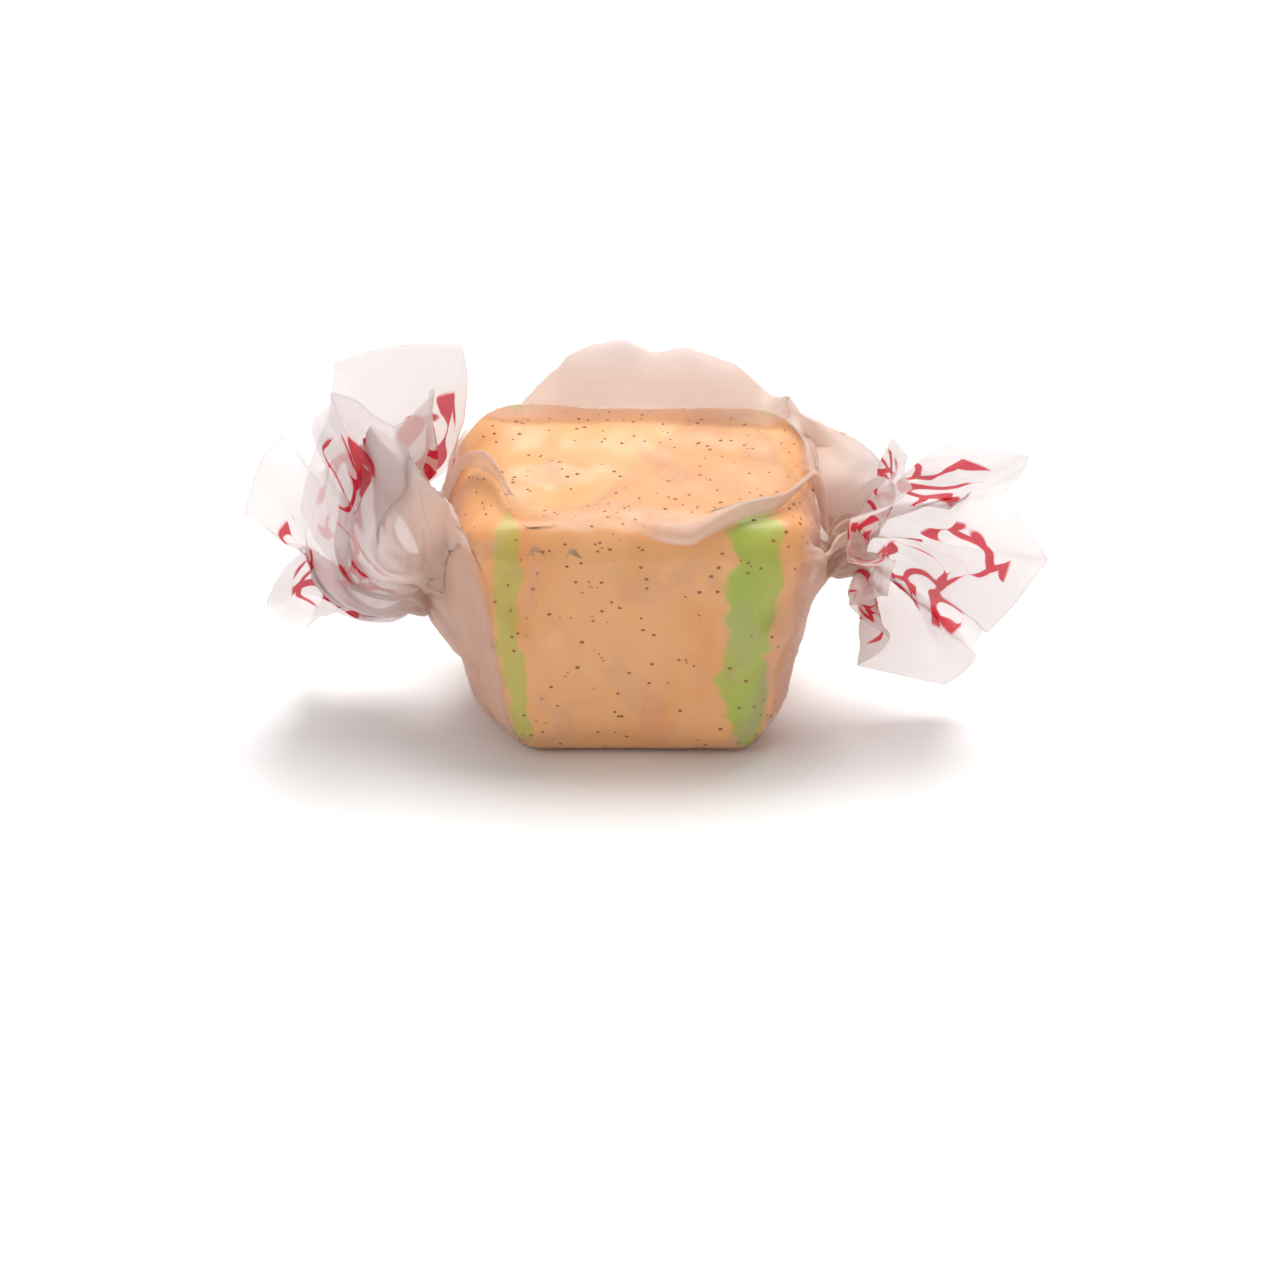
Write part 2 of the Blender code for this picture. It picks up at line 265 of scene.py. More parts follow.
# Over "along": how far the top layer's free edge lies in front of its straight line, and how far it curls up
FREE_EDGE_REACH = ((-16.0, -3.0), (-13.0, -7.0), (-11.0, -8.5), (-9.6, -5.0), (-8.8, -0.8), (-7.6, 1.2),
                   (-4.6, 2.4), (-2.0, 1.8), (1.4, 3.0), (3.5, 3.2), (8.8, 0.4), (12.7, -1.2), (18.0, 0.0))
FREE_EDGE_CURL = ((-15.0, 0.5), (-12.0, 1.6), (-9.8, 2.2), (-8.4, 0.8), (-7.0, 0.45), (-2.0, 0.4),
                  (2.0, 0.8), (9.0, 1.0), (14.0, 0.6))
CURL_FRONT = 0.4
CURL_LENGTH = 1.7
# How milky its rolled band is
FREE_EDGE_BAND = ((-16.0, 0.2), (-10.0, 0.35), (-8.0, 0.1), (0.0, 0.1), (2.5, 0.6), (13.0, 0.75),
                  (16.0, 0.4))
# The layer under it ends along a slanted line: its place across the top (Y) over "along"
UNDER_EDGE = ((-7.4, -7.6), (-3.5, -6.2), (4.2, 8.2), (7.5, 8.6))

# Dents pressed into the soft chunk: place, radius and depth
DENTS = (
    ((9.6, -10.6, 11.6), 1.5, 0.7),
    ((9.9, -9.8, 7.0), 1.8, 0.6),
    ((5.4, -11.2, 8.2), 2.4, 0.25),
    ((-9.4, -9.6, 13.0), 2.6, 0.6),
    ((-3.0, -11.0, 2.4), 3.0, 0.35),
    ((-6.0, -4.0, 17.8), 3.0, 0.3),
    ((4.0, 2.0, 18.2), 3.4, 0.25),
)
# Low swells all over it: depth, wavelength and seed; and the box inside it that they and the dents go in to
SWELLS = ((0.12, 6.0, 3), (0.05, 2.4, 4))
SWELL_WAVES = 12
CORE_LOW = (-6.0, -5.5, 5.0)
CORE_HIGH = (6.0, 5.5, 12.0)

# Green stripes pulled through the chunk: the face, X at top and base, half widths at top and base, depth
# down the side and where it reaches the top face, wave, and how green it is
STRIPES = (
    {"node": "stripe_front_left", "face": -1.0, "top": -9.2, "base": -8.2, "wide": 0.9, "narrow": 0.6,
     "deep": 1.3, "top_deep": 2.6, "wave": 0.25, "phase": 0.4, "strength": 0.72},
    {"node": "stripe_front_right", "face": -1.0, "top": 7.7, "base": 7.4, "wide": 1.85, "narrow": 1.25,
     "deep": 1.5, "top_deep": 3.4, "wave": 0.35, "phase": 1.9, "strength": 1.0},
    {"node": "stripe_back_left", "face": 1.0, "top": -8.2, "base": -6.6, "wide": 1.3, "narrow": 1.1,
     "deep": 1.4, "top_deep": 2.8, "wave": 0.3, "phase": 3.0, "strength": 0.8},
    {"node": "stripe_back_right", "face": 1.0, "top": 8.9, "base": 7.0, "wide": 1.2, "narrow": 1.2,
     "deep": 1.4, "top_deep": 2.6, "wave": 0.3, "phase": 4.1, "strength": 0.8},
)

# How far a stripe's cutter stands out below, above and in front of the chunk
CUTTER_BELOW = 1.5
CUTTER_ABOVE = 3.0
CUTTER_OUTSIDE = 0.6

# Crumples of the sheet: height, size, number of creases and seed
FAN_FACETS = ((0.34, 9.0, 5, 21), (0.12, 4.2, 6, 22))
NECK_CREASES = ((0.13, 2.6, 5, 23),)
CLING_CREASES = ((0.02, 7.0, 6, 24),)
LOOSE_FACETS = ((0.3, 6.0, 3, 25),)
LOOSE_AROUND = 0.79

# The finer forms that the looks add
CLEARANCE = 0.1
TIP_FILL = 0.4
END_FULLNESS = 0.7
TAFFY_ROWS = 130
TAFFY_ROUND = 220
BODY_ROWS = 44
GATHER_ROWS = 40
FAN_ROWS = 34
SHEET_COLUMNS = 224
EDGE_COLUMNS = 20
FREE_EDGE_START = 0.965
SHEET_THICKNESS = 0.05
LAYER_LIFT = 0.14
CLING_GAP = 0.08
CLING_REACH = 2.4
PAPER_CLEARANCE = 0.05
FINE_PLEAT_RISE = 0.35
FINE_PLEAT_PHASE = 1.3
TOP_LAYER_START = 0.78
TOP_LAYER_RAMP = 0.09
PROFILE_SOFTENING = 0.9
FAN_SLOPE = 0.7
MILKY_PATCH = 0.16
GATHER_MILKY = 0.55
UV_SPAN = 100.0

# The photograph's frame: its camera looks along +Y and down
CAMERA_ELEVATION = 25.0
CAMERA_DISTANCE = 340.0
FRAME_PIXELS = 1280.0
PIXELS_PER_MM = 14.2
FLOOR_ROW = 700.0
BODY_COLUMN = 640.0
FLOOR_HALF = 2000.0


def smooth_step(value):
    value = np.clip(value, 0.0, 1.0)
    return value * value * (3.0 - 2.0 * value)


def mix(first, second, share):
    return first + (second - first) * share


def read_curve(rows, value):
    table = np.array(rows)
    return np.interp(value, table[:, 0], table[:, 1])


def waves(points, length, count, seed):
    """A smooth random field of this wavelength, about -1 to 1: plane waves in random directions."""
    rng = np.random.default_rng(seed)
    field = np.zeros(len(points))
    for _ in range(count):
        direction = rng.normal(size=points.shape[1])
        direction *= 2.0 * math.pi / (length * rng.uniform(0.7, 1.5) * np.linalg.norm(direction))
        field += np.sin(points @ direction + rng.uniform(0.0, 2.0 * math.pi))
    return field / math.sqrt(count / 2.0) / 1.6


def creases(points, length, count, seed):
    """A crumpled field of facets and sharp creases, about -1 to 1: triangle waves in random directions."""
    rng = np.random.default_rng(seed)
    field = np.zeros(len(points))
    for _ in range(count):
        direction = rng.normal(size=points.shape[1])
        direction /= length * rng.uniform(0.6, 1.7) * np.linalg.norm(direction)
        phase = points @ direction + rng.uniform(0.0, 1.0)
        field += 4.0 * np.abs(phase % 1.0 - 0.5) - 1.0
    return field / math.sqrt(count)


def crumples(points, rows):
    """The sum of fields of creases, from rows of height, size, number and seed."""
    return sum(height * creases(points, size, count, seed) for height, size, count, seed in rows)


def make_mesh(name, points, faces):
    mesh = bpy.data.meshes.new(name)
    mesh.from_pydata([tuple(point) for point in points * MM], [], faces)
    mesh.shade_smooth()
    obj = bpy.data.objects.new(name, mesh)
    bpy.context.scene.collection.objects.link(obj)
    return obj


def ring_faces(rows, sides):
    """Quads between closed rings of points, one ring after another."""
    faces = []
    for row in range(rows - 1):
        for side in range(sides):
            after = (side + 1) % sides
            start, end = row * sides, (row + 1) * sides
            faces.append((start + side, start + after, end + after, end + side))
    return faces


def apply_modifiers(obj):
    """Gives the object its evaluated mesh, so that what is left is a plain mesh."""
    graph = bpy.context.evaluated_depsgraph_get()
    mesh = bpy.data.meshes.new_from_object(obj.evaluated_get(graph))
    obj.modifiers.clear()
    obj.data = mesh


def rounded_section(share, depth, low, high):
    """(y, z) at this share of the way round a rounded rectangle, from its top's middle over the front."""
    share = share % 1.0
    side = np.where(share <= 0.5, -1.0, 1.0)
    half = depth / 2.0
    pieces = (
        half - TOP_RADIUS,
        TOP_RADIUS * math.pi / 2.0,
        high - low - TOP_RADIUS - BASE_RADIUS,
        BASE_RADIUS * math.pi / 2.0,
        half - BASE_RADIUS,
    )
    run = np.minimum(share, 1.0 - share) * 2.0 * sum(pieces)
    marks = np.cumsum(pieces)
    top_angle = (run - marks[0]) / TOP_RADIUS
    base_angle = (run - marks[2]) / BASE_RADIUS
    cases = (run <= marks[0], run <= marks[1], run <= marks[2], run <= marks[3])
    across = np.select(
        cases,
        (
            run,
            half - TOP_RADIUS * (1.0 - np.sin(top_angle)),
            half,
            half - BASE_RADIUS * (1.0 - np.cos(base_angle)),
        ),
        half - BASE_RADIUS - (run - marks[3]),
    )
    height = np.select(
        cases,
        (
            high,
            high - TOP_RADIUS * (1.0 - np.cos(top_angle)),
            high - TOP_RADIUS - (run - marks[1]),
            low + BASE_RADIUS * (1.0 - np.sin(base_angle)),
        ),
        low,
    )
    return side * across, height


def section_length(depth, low, high):
    """The length once round the rounded rectangle."""
    straight = 2.0 * (depth + high - low) - 4.0 * (TOP_RADIUS + BASE_RADIUS)
    return straight + math.pi * (TOP_RADIUS + BASE_RADIUS)


SHEET_WIDTH = section_length(WRAP_DEPTH, 0.0, WRAP_HEIGHT) * (1.0 + SHEET_OVERLAP)


def soften(x, y, z, share):
    """The taper to the base, the domed top that rises to the back, and the bulged sides, by this share."""
    height = np.clip(z / WRAP_HEIGHT, 0.0, 1.0)
    narrow = mix(BASE_SHARE, 1.0, height)
    narrow = mix(NECK_NARROW, narrow, share)
    across = np.minimum(np.abs(y) / (WRAP_DEPTH / 2.0), 1.0)
    along = np.minimum(np.abs(x) / TIP_X, 1.0)
    crown = CROWN * height * (1.0 - across * across) * (1.0 - along * along)
    bulge = BULGE * np.sin(math.pi * height)
    back = smooth_step((y / WRAP_DEPTH + 0.15) / 0.6)
    rise = crown + BACK_RISE * height * height * back * (1.0 - 0.25 * x / TIP_X)
    return x * narrow, y * (1.0 + bulge * share), z + rise * share


def press_dents(points):
    """How far the chunk's surface lies below its plain form, and the way in, at each point."""
    depth = sum(height * (1.0 + waves(points, length, SWELL_WAVES, seed)) for height, length, seed in SWELLS)
    for place, radius, dent in DENTS:
        distance = np.linalg.norm(points - np.array(place), axis=1)
        depth += dent * np.exp(-((distance / radius) ** 2))
    inward = np.clip(points, CORE_LOW, CORE_HIGH) - points
    inward /= np.maximum(np.linalg.norm(inward, axis=1), 1e-6)[:, None]
    return depth, inward


# The taffy chunk


def taffy_surface(x_share, around):
    """Points of the chunk, grown almost to the paper: x_share runs from one tip at -1 to the other at 1.

    Half of that run lies over the straight body, and the rest closes round the two tips.
    """
    run = 2.0 * np.abs(x_share)
    flat = np.minimum(run, 1.0)
    turn = np.clip(run - 1.0, 0.0, 1.0) * math.pi / 2.0
    tip_x = np.where(x_share < 0.0, LEFT_TIP_X, TIP_X) + TIP_FILL
    x = np.sign(x_share) * (SHOULDER_X * flat + (tip_x - SHOULDER_X) * np.sin(turn))
    closing = np.cos(turn) ** END_FULLNESS
    y, z = rounded_section(around, WRAP_DEPTH - 2.0 * CLEARANCE, CLEARANCE, WRAP_HEIGHT - CLEARANCE)
    neck = np.where(x < 0.0, LEFT_FAN["neck_height"], RIGHT_FAN["neck_height"])
    z = neck + (z - neck) * closing
    points = np.stack(soften(x, y * closing, z, 1.0), axis=1)
    depth, inward = press_dents(points)
    on_floor = smooth_step((1.6 - points[:, 2]) / 1.4)
    return points + inward * (depth * (1.0 - on_floor))[:, None]


def make_chunk(name):
    """The whole chunk as rings from tip to tip, closed with a point at each tip."""
    shares = np.linspace(-1.0, 1.0, TAFFY_ROWS + 1)[1:-1]
    columns = np.arange(TAFFY_ROUND) / TAFFY_ROUND
    row_grid, column_grid = np.meshgrid(shares, columns, indexing="ij")
    points = taffy_surface(row_grid.ravel(), column_grid.ravel())
    tips = taffy_surface(np.array([-1.0, 1.0]), np.zeros(2))
    rows = len(shares)
    faces = ring_faces(rows, TAFFY_ROUND)
    low_tip = rows * TAFFY_ROUND
    last = (rows - 1) * TAFFY_ROUND
    for column in range(TAFFY_ROUND):
        after = (column + 1) % TAFFY_ROUND
        faces.append((low_tip, after, column))
        faces.append((low_tip + 1, last + column, last + after))
    return make_mesh(name, np.vstack((points, tips)), faces)


def stripe_place(stripe, height):
    """X of a stripe's middle and its half width at these heights."""
    share = height / WRAP_HEIGHT
    wander = stripe["wave"] * np.sin(7.0 * share + stripe["phase"])
    swell = 1.0 + 0.16 * np.sin(17.0 * share + stripe["phase"]) + 0.08 * np.sin(41.0 * share)
    middle = mix(stripe["base"], stripe["top"], share) + wander
    return middle, mix(stripe["narrow"], stripe["wide"], share) * swell


def stripe_depth(stripe, height):
    """How far a stripe reaches in from its face at these heights: farthest across the top."""
    return mix(stripe["deep"], stripe["top_deep"], smooth_step((height - WRAP_HEIGHT + 2.5) / 2.5))


def make_stripe_cutter(stripe, rows=60, sides=32):
    """A closed, wavy, flattened tube along the stripe, taller than the chunk."""
    heights = np.linspace(-CUTTER_BELOW, WRAP_HEIGHT + CUTTER_ABOVE, rows)
    middle, half_width = stripe_place(stripe, heights)
    angles = np.arange(sides) * 2.0 * math.pi / sides
    face_y = stripe["face"] * (WRAP_DEPTH / 2.0 + CUTTER_OUTSIDE)
    x = middle[:, None] + half_width[:, None] * np.cos(angles)[None, :]
    y = face_y + (stripe_depth(stripe, heights) + CUTTER_OUTSIDE)[:, None] * np.sin(angles)[None, :]
    z = heights[:, None] * np.ones((1, sides))
    points = np.stack((x, y, z), axis=2).reshape(-1, 3)
    ends = [tuple(range(sides))[::-1], tuple((rows - 1) * sides + side for side in range(sides))]
    return make_mesh(stripe["node"] + "_cutter", points, ends + ring_faces(rows, sides))


def cut_with(obj, cutter, operation):
    modifier = obj.modifiers.new("cut", "BOOLEAN")
    modifier.object = cutter
    modifier.operation = operation
    modifier.solver = "EXACT"
    apply_modifiers(obj)
    obj.data.set_sharp_from_angle(angle=math.radians(50.0))


def make_taffy():
    """The peach chunk, and its green stripes as ribbons cut from the same form."""
    chunk = make_chunk("taffy_chunk")
    ribbons = []
    for stripe in STRIPES:
        cutter = make_stripe_cutter(stripe)
        ribbon = make_chunk(stripe["node"].replace("stripe", "ribbon"))
        cut_with(ribbon, cutter, "INTERSECT")
        cut_with(chunk, cutter, "DIFFERENCE")
        bpy.data.objects.remove(cutter)
        ribbons.append(ribbon)
    return chunk, ribbons


def mark_green(obj):
    """How green the taffy is at each vertex: full inside a stripe, gone just past its edge."""
    count = len(obj.data.vertices)
    flat = np.empty(count * 3)
    obj.data.vertices.foreach_get("co", flat)
    points = flat.reshape(-1, 3) / MM
    green = np.zeros(count)
    ragged = 0.16 * waves(points, 1.6, 10, 8)
    for stripe in STRIPES:
        middle, half_width = stripe_place(stripe, points[:, 2])
        depth = (stripe["face"] * WRAP_DEPTH / 2.0 - points[:, 1]) * stripe["face"]
        reach = stripe_depth(stripe, points[:, 2]) + 0.3
        across = np.hypot((points[:, 0] - middle) / half_width, np.maximum(depth, 0.0) / reach)
        green = np.maximum(green, stripe["strength"] * smooth_step((1.02 + ragged - across) / 0.3 + 0.5))
    attribute = obj.data.attributes.new("green", "FLOAT", "POINT")
    attribute.data.foreach_set("value", green)


# The waxed paper


def profile_at(distance, fan):
    """X and closing of the sheet's rows, as smooth curves over the distance from its middle."""
    table = np.array(PROFILE)
    column = fan["profile_column"]
    total_x, total_closing = 0.0, 0.0
    offsets = np.linspace(-PROFILE_SOFTENING, PROFILE_SOFTENING, 7)
    weights = np.cos(offsets * 1.5) / np.cos(offsets * 1.5).sum()
    for offset, weight in zip(offsets, weights):
        place = np.minimum(distance, NECK_END) + offset
        x = np.interp(np.abs(place), table[:, 0], table[:, column]) * np.sign(place)
        total_x = total_x + weight * (x + FAN_SLOPE * np.maximum(place - NECK_END, 0.0))
        total_closing = total_closing + weight * np.interp(np.abs(place), table[:, 0], table[:, 1])
    return total_x, total_closing


def profile_normal(distance, fan):
    """(x, outward) parts of the sheet's normal: straight out over the body, along the twist at its ends."""
    centre = np.clip(distance, 0.4, NECK_END - 0.4)
    ahead = profile_at(centre + 0.4, fan)
    behind = profile_at(centre - 0.4, fan)
    run = ahead[0] - behind[0]
    drop = (behind[1] - ahead[1]) * WRAP_DEPTH / 2.0
    length = np.hypot(run, drop)
    return drop / length, run / length


def body_section(along, around, slip):
    """(y, z) and the way out of the sheet round the chunk; slip lets its overlapped edges draw apart."""
    turns = mix(1.0 + SHEET_OVERLAP, 1.0 - FAN_SLIT, slip)
    share = mix(SHEET_START, FAN_SLIT / 2.0, slip) + around * turns
    reach = read_curve(FREE_EDGE_REACH, along) * (1.0 - slip)
    share = share + reach / SHEET_WIDTH * turns * smooth_step((around - 0.82) / 0.18)
    under_y = read_curve(UNDER_EDGE, along)
    straight_y = -SHEET_START * section_length(WRAP_DEPTH, 0.0, WRAP_HEIGHT)
    under = (straight_y - under_y) * (1.0 - smooth_step((np.abs(along) - 7.5) / 3.0))
    share = share + under / SHEET_WIDTH * turns * (1.0 - smooth_step(around / 0.16))
    y, z = rounded_section(share, WRAP_DEPTH, 0.0, WRAP_HEIGHT)
    ahead = rounded_section(share + 1e-3, WRAP_DEPTH, 0.0, WRAP_HEIGHT)
    behind = rounded_section(share - 1e-3, WRAP_DEPTH, 0.0, WRAP_HEIGHT)
    run_y, run_z = ahead[0] - behind[0], ahead[1] - behind[1]
    length = np.hypot(run_y, run_z)
    return y, z, run_z / length, -run_y / length


def neck_loop(around, walls):
    """(y, z) of the pleated neck round its own centre: one pleat to each pair of the fan's walls."""
    wave = 0.5 + 0.5 * np.cos(math.pi * walls * around)
    radius = mix(NECK_VALLEY, NECK_TIP, wave)
    angle = 2.0 * math.pi * (FAN_SLIT / 2.0 + around * (1.0 - FAN_SLIT))
    return -radius * np.sin(angle), radius * np.cos(angle)


def turn_about(points, axis, angle):
    """The points turned about an axis through the origin, each by its own angle."""
    cosine, sine = np.cos(angle)[:, None], np.sin(angle)[:, None]
    along_axis = (points @ axis)[:, None] * axis
    return points * cosine + np.cross(axis, points) * sine + along_axis * (1.0 - cosine)


def fan_offset(fan, around, spread):
    """The way from the neck's end: the fan leans to its own axis as its folds run to the cut edge."""
    neck_x = PROFILE[-1][fan["profile_column"]] * NECK_NARROW
    ends = np.array(fan["fold_ends"]) - (fan["side"] * neck_x, 0.0, fan["neck_height"])
    walls = len(ends) - 1
    loop_y, loop_z = neck_loop(around, walls)
    place = np.minimum(around * walls, walls - 1e-9)
    index = place.astype(int)
    share = place - index
    edge = mix(ends[index], ends[index + 1], share[:, None])
    axis = ends.mean(axis=0)
    axis /= np.linalg.norm(axis)
    outward = np.array((fan["side"], 0.0, 0.0))
    hinge = np.cross(outward, axis)
    hinge /= np.linalg.norm(hinge)
    lean = math.acos(outward @ axis)
    upright_edge = turn_about(edge, hinge, np.full(len(edge), -lean))
    loop = np.stack((np.zeros_like(loop_y), loop_y, loop_z), axis=1)
    upright = mix(loop, upright_edge, spread[:, None])
    belly = BELLY * np.sin(math.pi * share) * np.sin(math.pi * np.minimum(spread, 1.0) / BELLY_REACH)
    upright[:, 0] += fan["side"] * belly * np.where(index % 2 == 0, 1.0, BELLY_INWARD)
    return turn_about(upright, hinge, lean * smooth_step(spread * FAN_LEAN_RATE))


def layer_lift(around):
    """How far the top layer lies above the one under it."""
    return LAYER_LIFT * smooth_step((around - TOP_LAYER_START) / TOP_LAYER_RAMP)


def half_sheet(distance, around, fan):
    """Points of one half of the sheet, from their distance from its middle and their share of its width."""
    side = fan["side"]
    neck = fan["neck_height"]
    walls = len(fan["fold_ends"]) - 1
    along = side * distance
    x, closing = profile_at(distance, fan)
    slip = smooth_step((distance - CLOSING_START) / (CLOSED - CLOSING_START))
    gather = smooth_step((distance - GATHER_START) / (GATHER_END - GATHER_START))
    y, z, out_y, out_z = body_section(along, around, slip)
    edge = (1.0 - around) * SHEET_WIDTH
    roll = smooth_step(edge / CURL_FRONT + 0.15) * (1.0 - smooth_step((edge - CURL_FRONT) / CURL_LENGTH))
    curl = read_curve(FREE_EDGE_CURL, along) * roll * (1.0 - slip)
    coarse = 0.5 + 0.5 * np.cos(math.pi * walls * around)
    fine = 0.5 + 0.5 * np.cos(math.pi * (walls * 2 + 5) * around + FINE_PLEAT_PHASE)
    pleat = (PLEAT_RISE * coarse + FINE_PLEAT_RISE * fine) * slip * (1.0 - gather)
    rise = (layer_lift(around) + curl) * (1.0 - gather) + pleat
    normal_x, normal_out = profile_normal(distance, fan)
    x = x + rise * normal_x
    y = y * closing + out_y * rise * normal_out
    z = neck + (z - neck) * closing + out_z * rise * normal_out
    x, y, z = soften(x, y, z, 1.0 - gather)
    z = z - neck
    spread = np.maximum(0.0, distance - NECK_END) / fan["length"]
    fan_x, fan_y, fan_z = fan_offset(fan, around, spread).T
    y = mix(y, fan_y, gather)
    z = mix(z, fan_z, gather)
    twist = math.radians(TWIST_DEGREES) * gather
    twist = twist * (1.0 - smooth_step((distance - TWIST_START) / (NECK_END - TWIST_START)))
    turned_y = y * np.cos(twist) - z * np.sin(twist)
    turned_z = y * np.sin(twist) + z * np.cos(twist)
    return np.stack((side * x + fan_x * gather, turned_y, neck + turned_z), axis=1)


def base_sheet(along, around):
    """Points of the whole sheet before it clings, folds and crumples."""
    left = half_sheet(np.abs(along), around, LEFT_FAN)
    right = half_sheet(np.abs(along), around, RIGHT_FAN)
    return np.where((along < 0.0)[:, None], left, right)


def crest_line(fold):
    """A fold's crest as close, softened rows of (along, around, x, y, z)."""
    crest = np.array(fold["crest"])
    steps = np.linspace(0.0, len(crest) - 1.0, CREST_STEPS * (len(crest) - 1) + 1)
    line = [np.interp(steps, np.arange(len(crest)), column) for column in crest.T]
    kernel = np.hanning(2 * CREST_SOFTENING + 1)
    kernel /= kernel.sum()
    padded = [np.pad(column, CREST_SOFTENING, mode="edge") for column in line]
    return np.stack([np.convolve(column, kernel, mode="valid") for column in padded], axis=1)


def pull_folds(points, along, around):
    """Pulls the sheet to each fold's crest; also how milky the folds make each point."""
    milky = np.zeros(len(points))
    flat = np.stack((along, around * SHEET_WIDTH), axis=1)
    for fold in PAPER_FOLDS:
        line = crest_line(fold)
        path = line[:, :2] * (1.0, SHEET_WIDTH)
        pull = line[:, 2:] - base_sheet(line[:, 0], line[:, 1])
        low, high = path.min(axis=0) - FOLD_REACH, path.max(axis=0) + FOLD_REACH
        near = np.flatnonzero(((flat > low) & (flat < high)).all(axis=1))
        each = np.arange(len(near))
        offset = flat[near, None, :] - path[None, :, :]
        distance = np.linalg.norm(offset, axis=2)
        closest = distance.argmin(axis=1)
        tangent = np.gradient(path, axis=0)[closest]
        gap = offset[each, closest]
        turn = tangent[:, 0] * gap[:, 1] - tangent[:, 1] * gap[:, 0]
        place = (closest / (len(path) - 1.0)) ** 2
        width = np.where(turn > 0.0, mix(*fold["before"], place), mix(*fold["after"], place))
        away = np.hypot(distance[each, closest], CREST_ROUNDING) - CREST_ROUNDING
        share = np.clip(1.0 - away / width, 0.0, 1.0)
        points[near] += pull[closest] * share[:, None]
        ahead = smooth_step(turn / np.linalg.norm(tangent, axis=1) / MILKY_EDGE + 0.5)
        milky_before, milky_after = fold["milky"]
        whiteness = mix(milky_after, milky_before, ahead)
        milky[near] += whiteness * np.minimum(share * fold["fade"], 1.0)
    return points, milky


def sheet_rows():
    """Signed distances of the sheet's rows from its middle, closest together in the gathers."""
    sides = []
    for fan in (LEFT_FAN, RIGHT_FAN):
        body = np.linspace(0.0, CLOSING_START, BODY_ROWS // 2 + 1)[1:]
        gathers = np.linspace(CLOSING_START, NECK_END, GATHER_ROWS + 1)[1:]
        spread = NECK_END + fan["length"] * np.linspace(0.0, 1.0, FAN_ROWS + 1)[1:]
        sides.append(fan["side"] * np.concatenate((body, gathers, spread)))
    return np.sort(np.concatenate((sides[0], [0.0], sides[1])))


def grid_normals(points, rows, columns):
    """The sheet's normals at its grid's points."""
    grid = points.reshape(rows, columns, 3)
    normal = np.cross(np.gradient(grid, axis=0), np.gradient(grid, axis=1)).reshape(-1, 3)
    return normal / np.maximum(np.linalg.norm(normal, axis=1), 1e-9)[:, None]


def crumple(points, along, around, normals):
    """Fine facets and creases: sharp in the fans, slight where the paper clings to the taffy."""
    flat = np.stack((along, around * SHEET_WIDTH), axis=1)
    distance = np.abs(along)
    in_fan = smooth_step((distance - NECK_END - 1.0) / 3.0)
    in_pleats = smooth_step((distance - 9.5) / 3.0) * (1.0 - in_fan)
    loose = smooth_step((12.0 - distance) / 4.0) * smooth_step(1.6 - np.abs(around - LOOSE_AROUND) / 0.04)
    cling = crumples(flat, CLING_CREASES) + crumples(flat, LOOSE_FACETS) * loose
    pleats = crumples(flat * (0.35, 1.0), NECK_CREASES)
    height = crumples(flat, FAN_FACETS) * in_fan + pleats * in_pleats + cling
    return points + normals * height[:, None]


def nearest_on(tree, points):
    """For each point: the nearest place on the chunk, the way out there, and the gap (below 0 inside)."""
    hits = [tree.find_nearest(point * MM) for point in points]
    places = np.array([hit[0] for hit in hits]) / MM
    outward = np.array([hit[1] for hit in hits])
    way = points - places
    gap = np.linalg.norm(way, axis=1) * np.where((way * outward).sum(axis=1) < 0.0, -1.0, 1.0)
    return places, outward, gap


def cling_to_chunk(points, along, around, tree):
    """Draws the waxed sheet down on to the taffy wherever it lies close to it over the body."""
    places, outward, gap = nearest_on(tree, points)
    close = CLING_GAP + layer_lift(around)
    drawn = close + np.maximum(gap - close, 0.0) * smooth_step((gap - 0.3) / CLING_REACH)
    edge = (1.0 - around) * SHEET_WIDTH
    share = smooth_step((edge - 1.5) / 1.5) * smooth_step((17.5 - np.abs(along)) / 2.5)
    way = np.where((gap > 0.02)[:, None], (points - places) / np.maximum(gap, 0.02)[:, None], outward)
    return mix(points, places + way * drawn[:, None], share[:, None])


def sheet_milkiness(along, around, folded):
    """How milky the paper is: at its folds, its rolled free edge, the gathers, and in soft patches."""
    flat = np.stack((along, (around - 0.5) * SHEET_WIDTH), axis=1)
    edge = (1.0 - around) * SHEET_WIDTH
    distance = np.abs(along)
    band = read_curve(FREE_EDGE_BAND, along) * (1.0 - smooth_step((edge - 0.7) / 0.5))
    gathered = smooth_step((distance - 11.0) / 2.0) * (1.0 - smooth_step((distance - NECK_END - 0.5) / 2.5))
    clouds = waves(flat, 7.0, 14, 31) + 0.35 * waves(flat, 2.4, 14, 32)
    patches = MILKY_PATCH * smooth_step((clouds - 0.3) / 0.9)
    return np.maximum.reduce((folded, GATHER_MILKY * gathered, band, patches))


def mark_sheet(wrapper, along, around, lift, milky):
    """Gives the paper its flat layout as UV, and its lift and milkiness for the material."""
    flat = np.stack((along, (around - 0.5) * SHEET_WIDTH), axis=1)
    loops = np.empty(len(wrapper.data.loops), dtype=np.int32)
    wrapper.data.loops.foreach_get("vertex_index", loops)
    uv_layer = wrapper.data.uv_layers.new(name="sheet")
    uv_layer.data.foreach_set("uv", (flat[loops] / UV_SPAN + 0.5).ravel())
    for name, values in (("lift", lift), ("milky", milky)):
        attribute = wrapper.data.attributes.new(name, "FLOAT", "POINT")
        attribute.data.foreach_set("value", values)


